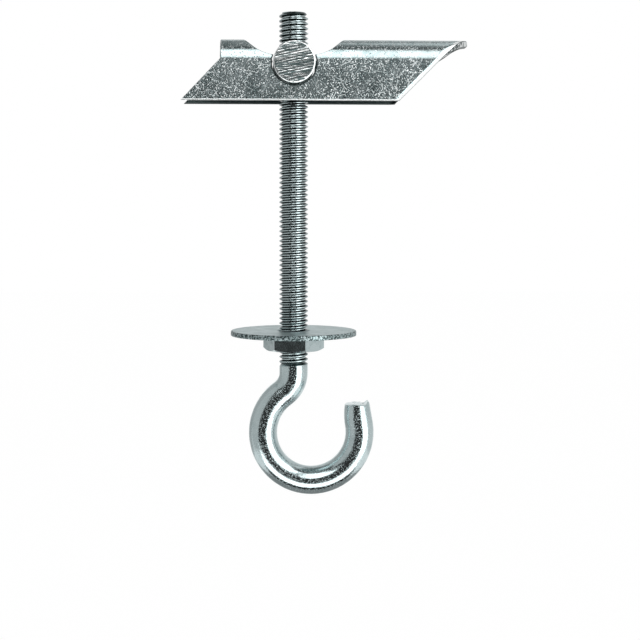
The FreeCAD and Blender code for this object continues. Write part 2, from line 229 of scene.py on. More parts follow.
class SwagHookSettings(PropertyGroup):
    """All settings of the swag hook"""

    channel: PointerProperty(type=ChannelSettings)
    bar: PointerProperty(type=BarSettings)
    rod: PointerProperty(type=RodSettings)
    washer: PointerProperty(type=WasherSettings)
    nut: PointerProperty(type=NutSettings)
    finish: PointerProperty(type=FinishSettings)
    stage: PointerProperty(type=StageSettings)


# Modelling by hand

def deselect():
    """Leaves nothing selected."""
    bpy.ops.object.select_all(action="DESELECT")


def added(name):
    """Names the object just added and moves its place into its mesh."""
    piece = bpy.context.object
    piece.name = name
    piece.data.name = name
    bpy.ops.object.transform_apply(location=True, rotation=True, scale=True)
    return piece


def edit(piece):
    """Opens one piece in edit mode with everything selected."""
    deselect()
    piece.select_set(True)
    bpy.context.view_layer.objects.active = piece
    bpy.ops.object.mode_set(mode="EDIT")
    bpy.ops.mesh.select_mode(type="VERT")
    bpy.ops.mesh.select_all(action="SELECT")


def close():
    """Leaves edit mode."""
    bpy.ops.object.mode_set(mode="OBJECT")


def pick(piece, kind, test):
    """Selects only the verts, edges or faces of the edited piece that pass a test."""
    bpy.ops.mesh.select_mode(type={"verts": "VERT", "edges": "EDGE", "faces": "FACE"}[kind])
    bpy.ops.mesh.select_all(action="DESELECT")
    mesh = bmesh.from_edit_mesh(piece.data)
    mesh.normal_update()
    for item in getattr(mesh, kind):
        item.select_set(test(item))
    mesh.select_flush_mode()
    bmesh.update_edit_mesh(piece.data)


def extrude(step):
    """Extrudes what is selected by a step."""
    bpy.ops.mesh.extrude_region_move(TRANSFORM_OT_translate={"value": step})


def trim(point, outward, fill=True):
    """Cuts off everything that lies outward of a plane."""
    bpy.ops.mesh.select_all(action="SELECT")
    bpy.ops.mesh.bisect(plane_co=point, plane_no=outward, use_fill=fill, clear_outer=True, threshold=WELD)


def score(point, across):
    """Cuts the selected faces along a plane and keeps both sides."""
    bpy.ops.mesh.bisect(plane_co=point, plane_no=across, threshold=WELD)


def weld():
    """Merges doubled vertices and turns the faces outwards."""
    bpy.ops.mesh.select_all(action="SELECT")
    bpy.ops.mesh.remove_doubles(threshold=WELD)
    bpy.ops.mesh.normals_make_consistent(inside=False)


def edge_rise(edge):
    """Height of an edge's second end above its first."""
    return edge.verts[1].co.z - edge.verts[0].co.z


def reshape(piece, rule):
    """Moves every vertex to where a rule puts it."""
    for vertex in piece.data.vertices:
        vertex.co = rule(vertex.co)
    piece.data.update()


def add_modifier(piece, kind, **settings):
    """Adds a modifier and applies it at once."""
    deselect()
    piece.select_set(True)
    bpy.context.view_layer.objects.active = piece
    modifier = piece.modifiers.new(kind.lower(), kind)
    for name, value in settings.items():
        setattr(modifier, name, value)
    bpy.ops.object.modifier_apply(modifier=modifier.name)


def combine(piece, tool, operation):
    """Cuts or keeps a piece by another one, which is used up."""
    add_modifier(piece, "BOOLEAN", operation=operation, solver="EXACT", object=tool)
    bpy.data.meshes.remove(tool.data)


def smooth(piece, degrees=32):
    """Smooth shading with sharp edges kept and flat faces left flat."""
    deselect()
    piece.select_set(True)
    bpy.context.view_layer.objects.active = piece
    bpy.ops.object.shade_smooth_by_angle(angle=radians(degrees))
    add_modifier(piece, "WEIGHTED_NORMAL", mode="FACE_AREA", weight=60, keep_sharp=True)


def draw_line(name, points):
    """Draws a line of edges through points, from a plane merged into one vertex."""
    deselect()
    bpy.ops.mesh.primitive_plane_add(size=MM, location=points[0])
    piece = added(name)
    edit(piece)
    bpy.ops.mesh.merge(type="CENTER")
    for start, end in zip(points, points[1:]):
        extrude(Vector(end) - Vector(start))
    close()
    return piece


def turn(name, outline, steps, filled=False):
    """Turns an outline of radius and height about the Z axis, as on a lathe; open ends can be filled."""
    piece = draw_line(name, [(radius, 0, height) for radius, height in outline])
    edit(piece)
    bpy.ops.mesh.spin(steps=steps, angle=FULL_TURN, center=(0, 0, 0), axis=(0, 0, 1))
    weld()
    if filled:
        for end in (outline[0], outline[-1]):
            pick(piece, "edges", lambda edge: all(abs(vertex.co.z - end[1]) < WELD for vertex in edge.verts))
            bpy.ops.mesh.edge_face_add()
        weld()
    close()
    return piece


def arc(centre, radius, start, end, steps):
    """Points of an arc about a centre of radius and height, from one angle to another, in degrees."""
    bearings = [radians(start + (end - start) * step / steps) for step in range(steps + 1)]
    return [(centre[0] + radius * cos(bearing), centre[1] + radius * sin(bearing)) for bearing in bearings]


def install(piece, body, node, material):
    """Gives a finished piece its material and lets it ride in place of its solid."""
    piece.data.materials.clear()
    piece.data.materials.append(material)
    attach(piece, body)
    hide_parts(node)


# Finishes

# Sockets of a Mix node that blends colours
MIX_FACTOR = 0
MIX_COLOURS = (6, 7)
MIX_RESULT = 2
# Width of a scratch, how far a slow noise bends it and the span of a quicker noise in which it fades
SCRATCH_WIDTH = 0.06 * MM
SCRATCH_BEND = 6
SCRATCH_FADE = (0.54, 0.57)
# Direction in degrees, spacing in millimetres and seed of each set of scratches on the sheet
SHEET_SCRATCHES = ((15, 2.6, 11.0), (70, 2.2, 23.0), (115, 3.1, 37.0), (160, 1.8, 53.0))
# Part of those directions that runs across the sheet
SHEET_LEAN = 0.4


class Value:
    """A node's output; calculating with it adds Math nodes."""

    def __init__(self, nodes, socket):
        self.nodes = nodes
        self.socket = socket

    def calculate(self, operation, *terms):
        """Adds a Math node on the given terms or, without any, on this output."""
        sockets = dict(enumerate(terms or (self,)))
        return self.nodes.add("ShaderNodeMath", {"operation": operation}, sockets)

    def __add__(self, other):
        return self.calculate("ADD", self, other)

    def __radd__(self, other):
        return self.calculate("ADD", other, self)

    def __sub__(self, other):
        return self.calculate("SUBTRACT", self, other)

    def __rsub__(self, other):
        return self.calculate("SUBTRACT", other, self)

    def __mul__(self, other):
        return self.calculate("MULTIPLY", self, other)

    def __abs__(self):
        return self.calculate("ABSOLUTE")


class Nodes:
    """A node tree under construction."""

    def __init__(self, owner):
        owner.use_nodes = True
        self.tree = owner.node_tree
        self.tree.nodes.clear()

    def add(self, kind, settings=None, sockets=None, output=0):
        """Adds a node with its settings and the values or links of its sockets; gives one of its outputs."""
        node = self.tree.nodes.new(kind)
        for name, value in (settings or {}).items():
            setattr(node, name, value)
        for name, value in (sockets or {}).items():
            if isinstance(value, Value):
                self.tree.links.new(value.socket, node.inputs[name])
            else:
                node.inputs[name].default_value = value
        return Value(self, node.outputs[output] if node.outputs else None)

    def place(self):
        """Place on the object, in metres."""
        return self.add("ShaderNodeTexCoord", output="Object")

    def turned_place(self, rotation, scale):
        """Place on the object after a turn and a stretch."""
        return self.add(
            "ShaderNodeMapping", sockets={"Vector": self.place(), "Rotation": rotation, "Scale": scale}
        )

    def axis(self, name):
        """One coordinate of the place on the object."""
        return self.add("ShaderNodeSeparateXYZ", {}, {"Vector": self.place()}, output=name)

    def radius(self, height=None):
        """Distance from the Z axis or, at a given height, from the line along Y there."""
        across = self.axis("X")
        other = self.axis("Y") if height is None else self.axis("Z") - height
        return (across * across + other * other).calculate("SQRT")

    def mark(self, name):
        """Number painted on the faces of the mesh."""
        return self.add("ShaderNodeAttribute", {"attribute_name": name}, output="Fac")

    def noise(self, size, seed, detail=2.0, place=None):
        """Noise of one grain size, from 0 to 1."""
        return self.add(
            "ShaderNodeTexNoise",
            {"noise_dimensions": "4D"},
            {"Vector": place or self.place(), "W": seed, "Scale": 1 / size, "Detail": detail},
        )

    def rise(self, value, low, high):
        """0 below low, 1 above high and smooth between them."""
        return self.add(
            "ShaderNodeMapRange",
            {"interpolation_type": "SMOOTHSTEP"},
            {"Value": value, "From Min": low, "From Max": high},
        )

    def blend(self, factor, first, second):
        """Colour from first to second as the factor rises."""
        mix = {MIX_FACTOR: factor}
        for socket, tint in zip(MIX_COLOURS, (first, second)):
            mix[socket] = tint if isinstance(tint, Value) else (*tint, 1)
        return self.add("ShaderNodeMix", {"data_type": "RGBA"}, mix, output=MIX_RESULT)

    def greater(self, first, second):
        """The greater of two values."""
        return self.add("ShaderNodeMath", {"operation": "MAXIMUM"}, {0: first, 1: second})

    def scratches(self, direction, spacing, reach, seed):
        """Short curved scratches: lines across a direction, bent by one noise and broken up by another."""
        product = {"operation": "DOT_PRODUCT"}
        along = self.add("ShaderNodeVectorMath", product, {0: self.place(), 1: direction}, output="Value")
        bend = self.noise(2 * spacing, seed, detail=1.0) * SCRATCH_BEND
        phase = along * (pi / spacing) + bend
        line = 1 - self.rise(abs(phase.calculate("SINE")), 0, SCRATCH_WIDTH * pi / spacing)
        return line * self.rise(self.noise(reach, seed + 5, detail=1.0), *SCRATCH_FADE)

    def metal(self, tint, roughness, height, depth):
        """Ends the tree in bare metal with a bumpy surface."""
        normal = self.add("ShaderNodeBump", {}, {"Height": height, "Distance": depth})
        shader = self.add(
            "ShaderNodeBsdfPrincipled",
            {},
            {"Base Color": tint, "Roughness": roughness, "Metallic": 1.0, "Normal": normal},
        )
        self.add("ShaderNodeOutputMaterial", {}, {"Surface": shader})


def new_material(name):
    """A material and the nodes that make it."""
    material = bpy.data.materials.new(name)
    return material, Nodes(material)


def scuffed_sheet(tones, sizes, notch_height):
    """Plated sheet: mottling, grain, specks, pits, curved scratches, hatched cuts and painted shade on the
    inner side and in the notches.

    A painted highlight runs along the foot of each wall and a painted shadow rings each notch.
    """
    material, nodes = new_material("scuffed_zinc_sheet")
    mottle = nodes.noise(2.6 * MM, seed=1.0, detail=3.0)
    grain = nodes.noise(0.24 * MM, seed=2.0)
    near_foot = 1 - nodes.rise(nodes.axis("Z"), 0.3 * MM, 1.8 * MM)
    # Painted highlight: a bright line along the foot of each wall
    foot_highlight = 1 - nodes.rise(nodes.axis("Z"), 0.15 * MM, 0.32 * MM)
    worn = nodes.rise(nodes.noise(4.0 * MM, seed=21.0, detail=1.0), 0.38, 0.62)
    specks = nodes.rise(nodes.noise(0.23 * MM, seed=3.0, detail=1.0) + worn * 0.02, 0.63, 0.67)
    pits = nodes.rise(nodes.noise(0.26 * MM, seed=4.0, detail=1.0) + near_foot * 0.15, 0.63, 0.68)
    # Painted shadow: a dark ring on the sheet round each notch, beside the cross nut
    rim = 1 - nodes.rise(nodes.radius(notch_height) - sizes.notch, sizes.edge, 1.8 * sizes.edge)
    # Scuffs from the specks and scratches, together with the painted highlight along the walls' feet
    scuffs_and_highlights = nodes.greater(specks * 0.9, foot_highlight)
    for heading, spacing, seed in SHEET_SCRATCHES:
        direction = (cos(radians(heading)), SHEET_LEAN, sin(radians(heading)))
        lines = nodes.scratches(direction, spacing * MM, 0.9 * MM, seed)
        scuffs_and_highlights = nodes.greater(scuffs_and_highlights, lines * (0.4 + worn * 0.6))
    scuffs_and_highlights = scuffs_and_highlights * (1 - rim)
    cut = nodes.mark("sheared")
    # Faces that get painted shade: the channel's inner side, the notch walls, the drawn edge's rounding and
    # the far wall's foot
    inner = nodes.mark("inner")
    drawn_out = nodes.turned_place((0, 0, 0), (1, 1, 0.08))
    stripes = nodes.rise(nodes.noise(0.22 * MM, seed=41.0, detail=1.0, place=drawn_out), 0.42, 0.58)
    plating = nodes.blend(nodes.rise(mottle + grain * 0.1, 0.22, 0.77), tones.dull, tones.bright)
    # Dark pits, and the painted shadow round the notches
    pits_and_rim_shadow = nodes.blend(nodes.greater(pits * 0.9, rim), plating, tones.pit_and_shade_tone)
    marked = nodes.blend(scuffs_and_highlights, pits_and_rim_shadow, tones.scuff)
    # Cut faces: stripes on torn faces; burnished faces and the painted highlight on the drawn strip take the
    # bright tone
    hatched = nodes.blend(nodes.rise(cut, 0.6, 0.9) * (1 - stripes), tones.scuff, tones.pit_and_shade_tone)
    outer = nodes.blend(nodes.rise(cut, 0, 0.4), marked, hatched)
    # Painted shade: the marked faces turn almost wholly to the dark grey
    tint = nodes.blend(inner * 0.95, outer, tones.pit_and_shade_tone)
    roughness = 0.20 + mottle * 0.06 + scuffs_and_highlights * 0.30 + inner * 0.15
    relief = grain * 0.2 + scuffs_and_highlights * 0.8 - pits * 0.8 + cut * stripes
    nodes.metal(tint, roughness, relief, 0.012 * MM)
    return material


def sawn_bar(tones, sizes):
    """Plated bar: dark saw lines across the ends, painted shade in the saw grooves, a painted highlight on
    the chamfers and faint turning marks round the side.
    """
    material, nodes = new_material("sawn_zinc_bar")
    along_marks = nodes.turned_place((0, sizes.mark_rise, 0), (0.06, 0.25, 1))
    lines = nodes.noise(0.13 * MM, seed=5.0, place=along_marks)
    grain = nodes.noise(0.25 * MM, seed=6.0)
    end = abs(nodes.axis("Y"))
    flat = sizes.half_length
    # Painted shade in the bottoms of the saw grooves
    grooves = nodes.rise(end, flat - 1.6 * sizes.mark_depth, flat - 1.4 * sizes.mark_depth)
    grooves = grooves * (1 - nodes.rise(end, flat - sizes.mark_depth, flat - 0.1 * sizes.mark_depth))
    out = nodes.radius(sizes.height)
    # Painted highlight: a bright ring on the chamfer at each end
    ring = nodes.rise(out, sizes.radius - 0.7 * sizes.chamfer, sizes.radius - 0.6 * sizes.chamfer)
    scuffs_and_highlights = ring * nodes.rise(end, flat - sizes.chamfer, flat - 0.9 * sizes.chamfer)
    tone = nodes.rise(lines + grain * 0.2, 0.55, 0.68)
    plating = nodes.blend(tone, tones.dull, tones.scuff)
    # Dark saw lines, and the painted shade in the grooves
    sawn = nodes.blend(nodes.greater(grooves * 0.95, (1 - tone) * 0.75), plating, tones.pit_and_shade_tone)
    roughness = 0.36 - tone * 0.10
    nodes.metal(nodes.blend(scuffs_and_highlights, sawn, tones.scuff), roughness, lines * 1.5 + grain * 0.5, 0.016 * MM)
    return material


def bright_wire(tones, sizes):
    """Bright plated wire: a grain that breaks up reflections, dull clouds and painted shade on the thread's
    flanks.
    """
    material, nodes = new_material("bright_zinc_wire")
    clouds = nodes.noise(3.0 * MM, seed=7.0, detail=3.0)
    grain = nodes.noise(0.18 * MM, seed=8.0)
    specks = nodes.rise(nodes.noise(0.20 * MM, seed=9.0, detail=1.0), 0.58, 0.66)
    threaded = nodes.rise(nodes.axis("Z"), sizes.thread_end, sizes.thread_end + sizes.run_out)
    depth = (sizes.radius - nodes.radius()) * (1 / sizes.depth)
    # Painted shade on the flanks of the thread
    painted_flank_shade = threaded * nodes.rise(depth, 0.03, 0.09) * (1 - nodes.rise(depth, 0.92, 0.98))
    plating = nodes.blend(nodes.rise(clouds, 0.40, 0.75) * 0.35, tones.bright, tones.dull)
    tint = nodes.blend(painted_flank_shade, plating, tones.pit_and_shade_tone)
    roughness = 0.06 + clouds * 0.05 + specks * 0.25 + threaded * 0.10
    nodes.metal(tint, roughness, grain - specks * 0.4, 0.019 * MM)
    return material


def satin_washer(tones, sizes):
    """Plated washer: an even satin grey with faint clouds, fine scratches and a torn grain round the rim."""
    material, nodes = new_material("satin_zinc_washer")
    clouds = nodes.noise(2.6 * MM, seed=12.0, detail=3.0)
    grain = nodes.noise(0.28 * MM, seed=13.0)
    fine = nodes.scratches((0.5, 0.8, 0), 4.0 * MM, 2.0 * MM, seed=31.0)
    rim = nodes.rise(nodes.radius(), sizes.radius - sizes.roll * 1.2, sizes.radius - sizes.roll * 0.8)
    torn = rim * nodes.rise(nodes.noise(0.26 * MM, seed=17.0), 0.44, 0.54)
    tint = nodes.blend(nodes.rise(clouds + grain * 0.3, 0.35, 1.0), tones.dull, tones.bright)
    scuffs_and_highlights = nodes.blend(fine * 0.5, tint, tones.scuff)
    roughness = 0.36 + clouds * 0.12
    nodes.metal(nodes.blend(torn, scuffs_and_highlights, tones.pit_and_shade_tone), roughness, grain + fine * 0.5 - torn * 2, 0.010 * MM)
    return material


def smooth_nut(tones):
    """Plated nut: smooth drawn flats with faint clouds."""
    material, nodes = new_material("smooth_zinc_nut")
    clouds = nodes.noise(1.8 * MM, seed=14.0, detail=3.0)
    grain = nodes.noise(0.30 * MM, seed=15.0)
    tint = nodes.blend(nodes.rise(clouds + grain * 0.3, 0.30, 0.75), tones.dull, tones.bright)
    roughness = 0.13 + clouds * 0.12
    nodes.metal(tint, roughness, grain + clouds, 0.008 * MM)
    return material


# The pieces

class SWAG_HOOK_OT_channel(Operator):
    """Cuts a flat blank, rolls over its sheared edges and folds it into the toggle's channel"""

    bl_idname = "swag_hook.channel"
    bl_label = "Folded channel"
    bl_options = {"REGISTER", "UNDO"}

    def execute(self, context):
        settings = context.scene.swag_hook
        sizes = settings.channel
        outside = sizes.bend + sizes.sheet
        middle = sizes.bend + sizes.sheet / 2
        fold_start = sizes.half_width - outside
        fold_end = fold_start + middle * pi / 2
        blank_half = fold_end + sizes.height - outside
        notch_place = blank_half - settings.bar.height

        piece = self.cut_blank(sizes, fold_end, blank_half)
        self.punch(piece, sizes, notch_place)
        self.round_edges(piece, sizes)
        self.score_folds(piece, sizes, fold_start, fold_end, blank_half)
        self.mark_faces(piece, sizes, fold_start, blank_half, notch_place)

        def fold(point):
            run = abs(point.y)
            side = 1 if point.y > 0 else -1
            margin = (sizes.long_foot + blank_half - point.x - run) / sqrt(2)
            drawn = max(1 - margin / sizes.drawn_width, 0) * min(max(run - fold_start, 0) / middle, 1)
            inset = sizes.drawn_depth * drawn * drawn - point.z
            if run <= fold_start:
                return Vector((point.x, point.y, sizes.height - inset))
            turn_angle = min((run - fold_start) / middle, pi / 2)
            out = fold_start + (outside - inset) * sin(turn_angle)
            up = sizes.height - outside + (outside - inset) * cos(turn_angle)
            down = max(run - fold_end, 0)
            return Vector((point.x, side * out, up - down))

        reshape(piece, fold)
        smooth(piece)
        finish = scuffed_sheet(settings.finish, sizes, settings.bar.height)
        install(piece, "toggle", "toggle_channel", finish)
        return {"FINISHED"}

    def cut_blank(self, sizes, fold_end, blank_half):
        """Flat strip with its outer side up, sheared off aslant at both ends."""
        run = sizes.short_foot + sizes.long_web
        deselect()
        bpy.ops.mesh.primitive_cube_add(
            size=1,
            location=(sizes.long_web - run / 2, 0, -sizes.sheet / 2),
            scale=(run, 2 * blank_half, sizes.sheet),
        )
        piece = added("folded_channel")
        edit(piece)
        for side in (1, -1):
            trim((sizes.long_foot, side * blank_half, 0), (1, side, 0))
        close()

        beyond = 2 * MM
        slope = (blank_half - fold_end) / (sizes.short_foot - sizes.short_web)
        reach = sizes.short_foot - sizes.short_web + beyond
        deselect()
        bpy.ops.mesh.primitive_cube_add(
            size=1,
            location=(-sizes.short_web - reach / 2, 0, -sizes.sheet / 2),
            scale=(reach, 2 * fold_end, PUNCH_DEPTH * sizes.sheet),
        )
        cutter = added("short_end_cutter")
        edit(cutter)
        pick(cutter, "faces", lambda face: face.normal.x < -FACING)
        bpy.ops.transform.resize(value=(1, 1 + reach * slope / fold_end, 1))
        close()
        combine(piece, cutter, "DIFFERENCE")
        return piece

    def punch(self, piece, sizes, notch_place):
        """Slot with round ends through the web and most of its folds, and a round notch in each wall."""
        through = PUNCH_DEPTH * sizes.sheet
        middle = -sizes.sheet / 2
        deselect()
        bpy.ops.mesh.primitive_cylinder_add(
            vertices=96, radius=sizes.slot, depth=through, location=(0, 0, middle)
        )
        window = added("window_punch")
        straight = sizes.window - sizes.slot
        reshape(window, lambda point: point + Vector((straight if point.x > 0 else -straight, 0, 0)))
        combine(piece, window, "DIFFERENCE")
        for side in (1, -1):
            deselect()
            bpy.ops.mesh.primitive_cylinder_add(
                vertices=72, radius=sizes.notch, depth=through, location=(0, side * notch_place, middle)
            )
            combine(piece, added("notch_punch"), "DIFFERENCE")

    def round_edges(self, piece, sizes):
        """Small rounding on both edges of every sheared face."""
        square = radians(80)
        edit(piece)
        weld()
        pick(piece, "edges", lambda edge: edge.calc_face_angle(0) > square and abs(edge_rise(edge)) < WELD)
        bpy.ops.mesh.bevel(offset=sizes.edge, segments=2, affect="EDGES")
        close()

    def score_folds(self, piece, sizes, fold_start, fold_end, blank_half):
        """Lines across the strip where it will bend, and along the strip that the shear draws in."""
        run = fold_end - fold_start
        lines = [fold_start + run * step / sizes.fold_steps for step in range(sizes.fold_steps + 1)]
        drawn_steps = 4
        edit(piece)
        for side in (1, -1):
            for line in lines:
                bpy.ops.mesh.select_all(action="SELECT")
                score((0, side * line, 0), (0, 1, 0))
            for step in range(1, drawn_steps + 1):
                margin = sizes.drawn_width * step / drawn_steps * sqrt(2)
                pick(piece, "faces", lambda face: face.calc_center_median().y * side > fold_start)
                score((sizes.long_foot - margin, side * blank_half, 0), (1, side, 0))
        close()

    def mark_faces(self, piece, sizes, fold_start, blank_half, notch_place):
        """Marks the faces that get painted shade, and the sheared ones for their finish, burnished cuts and
        painted highlights by half.
        """
        burnished_and_highlight, torn = 0.5, 1.0
        slight = 0.2
        inner = piece.data.attributes.new("inner", "FLOAT", "FACE")
        sheared = piece.data.attributes.new("sheared", "FLOAT", "FACE")
        for face in piece.data.polygons:
            run = abs(face.center.y)
            margin = (sizes.long_foot + blank_half - face.center.x - run) / sqrt(2)
            drawn = run > fold_start and margin < sizes.drawn_width / 2
            from_notch = hypot(face.center.x, run - notch_place)
            upright = abs(face.normal.z) < UPRIGHT
            notch_wall = upright and from_notch < sizes.notch + sizes.edge
            cut_edge = drawn and slight < face.normal.z < FACING
            back_foot = face.normal.y > slight and face.center.y > blank_half - sizes.edge
            underside = face.normal.z < -FACING
            # Painted shade on the channel's inner side, the notch walls, the rounded edge of the drawn strip
            # and the far wall's foot
            inner.data[face.index].value = underside or notch_wall or cut_edge or back_foot
            # Burnished cut faces are bright bare steel; on the walls' lower edges they are also a painted
            # highlight
            if upright:
                sheared.data[face.index].value = burnished_and_highlight if abs(face.normal.y) > FACING else torn
            # Painted highlight: the outer face of the drawn strip takes the bright tone of a burnished cut
            elif drawn and face.normal.z > 0:
                sheared.data[face.index].value = burnished_and_highlight


class SWAG_HOOK_OT_cross_nut(Operator):
    """Turns the round cross nut, saws its ends and drills it for the rod"""

    bl_idname = "swag_hook.cross_nut"
    bl_label = "Sawn cross nut"
    bl_options = {"REGISTER", "UNDO"}

    def execute(self, context):
        settings = context.scene.swag_hook
        sizes = settings.bar
        end = sizes.half_length
        # Points of the rounded chamfer, as shares of it inwards and back from the end
        chamfer_steps = ((0, 1), (0.15, 0.35), (1, 0))
        near = [
            (sizes.radius - sizes.chamfer * inward, end - sizes.chamfer * back)
            for inward, back in chamfer_steps
        ]
        outline = [(radius, -height) for radius, height in reversed(near)] + near
        piece = turn("sawn_cross_nut", outline, steps=96, filled=True)
        edit(piece)
        bpy.ops.transform.rotate(value=pi / 2, orient_axis="X", center_override=(0, 0, 0))
        bpy.ops.transform.translate(value=(0, 0, sizes.height))
        corner = radians(30)
        pick(piece, "edges", lambda edge: edge.calc_face_angle(0) > corner)
        bpy.ops.mesh.bevel(offset=sizes.edge, segments=2, affect="EDGES")
        for side in (-1, 1):
            self.saw(piece, sizes, side)
        close()
        drill = turn("drill", [(sizes.hole, -end), (sizes.hole, end)], steps=64, filled=True)
        reshape(drill, lambda point: point + Vector((0, 0, sizes.height)))
        combine(piece, drill, "DIFFERENCE")
        smooth(piece)
        install(piece, "hanger", "cross_nut", sawn_bar(settings.finish, sizes))
        return {"FINISHED"}

    def saw(self, piece, sizes, side):
        """Slanting grooves of uneven depth across one end."""
        across = Vector((-sin(sizes.mark_rise), 0, cos(sizes.mark_rise)))
        marks = int(sizes.radius / sizes.mark_pitch)
        centre = Vector((0, 0, sizes.height))
        end_facing = 0.8
        end_zone = sizes.half_length - sizes.chamfer / 3
        uneven, beat = 0.25, 2.3

        def on_end(face):
            return face.normal.y * side > end_facing and abs(face.calc_center_median().y) > end_zone

        for mark in range(-2 * marks, 2 * marks + 1):
            pick(piece, "faces", on_end)
            score(centre + across * mark * sizes.mark_pitch / 2, across)
            if mark % 2:
                depth = sizes.mark_depth * (1 - uneven + uneven * sin(beat * mark))
                bpy.ops.transform.translate(value=(0, -side * depth, 0))


class SWAG_HOOK_OT_hook_rod(Operator):
    """Winds the thread, draws the wire down from it and bends the wire into the hook"""

    bl_idname = "swag_hook.hook_rod"
    bl_label = "Threaded hook"
    bl_options = {"REGISTER", "UNDO"}

    def execute(self, context):
        settings = context.scene.swag_hook
        sizes = settings.rod
        piece = self.wind_thread(sizes)
        self.bend_wire(piece, sizes)
        self.crop_tip(piece, sizes)
        smooth(piece, degrees=40)
        install(piece, "hanger", "hook_rod", bright_wire(settings.finish, sizes))
        return {"FINISHED"}

    def wind_thread(self, sizes):
        """Right-hand thread with rounded crests and roots, a chamfered start and a run-out into the wire."""
        thread_end = sizes.thread_end
        root = sizes.radius - sizes.depth
        spare_turns = 5
        # Steps of the outline, as shares of the depth and of the pitch
        land, rounding, flank = (0, 0.03), (0.03, 0.06), (0.94, 0.32)
        rising = [land, rounding, flank, rounding, land]
        steps = rising + [(-out, up) for out, up in rising]
        points = [Vector((root, 0, thread_end - 2 * sizes.pitch))]
        for out, up in steps:
            points.append(points[-1] + Vector((out * sizes.depth, 0, up * sizes.pitch)))
        piece = draw_line("threaded_hook", points)
        turns = int(sizes.thread / sizes.pitch) + spare_turns
        add_modifier(
            piece,
            "SCREW",
            axis="Z",
            angle=FULL_TURN,
            screw_offset=sizes.pitch,
            iterations=turns,
            steps=sizes.thread_steps,
            render_steps=sizes.thread_steps,
        )
        edit(piece)
        weld()
        trim((0, 0, sizes.top), (0, 0, 1))
        close()

        def finish_thread(point):
            reach = hypot(point.x, point.y)
            if reach < WELD:
                return point
            faded = min(max((thread_end + sizes.run_out - point.z) / sizes.run_out, 0), 1)
            wanted = reach + (sizes.wire - reach) * faded
            wanted = min(wanted, sizes.radius - sizes.chamfer + max(sizes.top - point.z, 0))
            return Vector((point.x * wanted / reach, point.y * wanted / reach, point.z))

        reshape(piece, finish_thread)
        edit(piece)
        trim((0, 0, thread_end), (0, 0, -1), fill=False)
        close()
        return piece

    def bends(self, sizes):
        """Turn of the neck, and the centres of the neck and of the bowl."""
        neck_foot = sizes.thread_end - sizes.shank
        neck_turn = acos((sizes.bowl_offset + sizes.neck) / (sizes.neck + sizes.bowl))
        bowl_drop = (sizes.neck + sizes.bowl) * sin(neck_turn)
        neck_centre = Vector((-sizes.neck, 0, neck_foot))
        bowl_centre = Vector((sizes.bowl_offset, 0, neck_foot - bowl_drop))
        return neck_turn, neck_centre, bowl_centre

    def bend_wire(self, piece, sizes):
        """Shank, neck, bowl and tip, drawn from the foot of the thread."""
        neck_turn, neck_centre, bowl_centre = self.bends(sizes)
        tip_run = Vector((-sin(sizes.lean), 0, cos(sizes.lean))) * sizes.tip
        tip_steps = 4
        # Rings on the end of the wire, each as a share of the one outside it
        rings = (0.93, 0.88, 0.80, 0.75, 0.65, 0.50)
        edit(piece)
        foot = sizes.thread_end + WELD
        pick(piece, "edges", lambda edge: all(vertex.co.z < foot for vertex in edge.verts))
        extrude((0, 0, -sizes.shank))
        bpy.ops.mesh.spin(steps=18, angle=neck_turn, center=neck_centre, axis=(0, -1, 0))
        bpy.ops.mesh.spin(steps=84, angle=pi + neck_turn + sizes.lean, center=bowl_centre, axis=(0, 1, 0))
        for step in range(tip_steps):
            extrude(tip_run / tip_steps)
        bpy.ops.mesh.edge_face_add()
        for ratio in rings:
            extrude((0, 0, 0))
            bpy.ops.transform.resize(value=(ratio, ratio, ratio))
        weld()
        close()

    def crop_tip(self, piece, sizes):
        """Cropped end of the wire: a rounded rim, a torn hollow and a burr on the outer side."""
        lean = Matrix.Rotation(-sizes.lean, 3, "Y")
        along = lean @ Vector((0, 0, 1))
        outward = lean @ Vector((1, 0, 0))
        bowl_centre = self.bends(sizes)[2]
        tip_foot = bowl_centre + outward * sizes.bowl
        # Places and reaches across the end, in radii of the wire
        wire_edge, rim_start = 1.1, 0.82
        burr_place, burr_reach = 0.86, 0.20
        hollow_place, hollow_reach = 0.50, 0.24
        hollow_depth, rim_drop = 0.7 * sizes.burr, 0.16 * MM
        ripple_height, ripples_out, ripples_aside = 0.05 * MM, 9, 4
        weld_share = WELD / sizes.tip

        def crop(point):
            offset = point - tip_foot
            rise = offset.dot(along) / sizes.tip
            across = offset.dot(outward) / sizes.wire
            if abs(across) > wire_edge or not 0 < rise < 1 + weld_share:
                return point
            pinch = outward * (1 - across) / 2 + along * (0.5 - across) / 2
            bent = point + pinch * sizes.tip * tan(sizes.lean) * rise * rise
            if rise < 1 - weld_share:
                return bent
            reach = hypot(across, offset.y / sizes.wire)
            rim = max(reach - rim_start, 0) / (1 - rim_start)
            burr = sizes.burr * max(1 - abs(across - burr_place) / burr_reach, 0)
            hollow = hollow_depth * max(1 - abs(across - hollow_place) / hollow_reach, 0)
            ripple = ripple_height * sin(ripples_out * across + ripples_aside * offset.y / sizes.wire)
            return bent + along * (burr - hollow + ripple - rim_drop * rim * rim)

        reshape(piece, crop)


class SWAG_HOOK_OT_washer(Operator):
    """Turns the washer with the rolled and the sharp edges that a stamp leaves"""

    bl_idname = "swag_hook.washer"
    bl_label = "Stamped washer"
    bl_options = {"REGISTER", "UNDO"}

    def execute(self, context):
        settings = context.scene.swag_hook
        sizes = settings.washer
        roll, burr = sizes.roll, sizes.burr_edge
        outline = [
            *arc((sizes.hole + burr, sizes.low + burr), burr, 270, 180, 2),
            *arc((sizes.hole + roll, sizes.high - roll), roll, 180, 90, 5),
            *arc((sizes.radius - roll, sizes.high - roll), roll, 90, 0, 5),
            *arc((sizes.radius - burr, sizes.low + burr), burr, 0, -90, 2),
        ]
        piece = turn("stamped_washer", [*outline, outline[0]], steps=192)
        smooth(piece)
        install(piece, "washer", "washer", satin_washer(settings.finish, sizes))
        return {"FINISHED"}


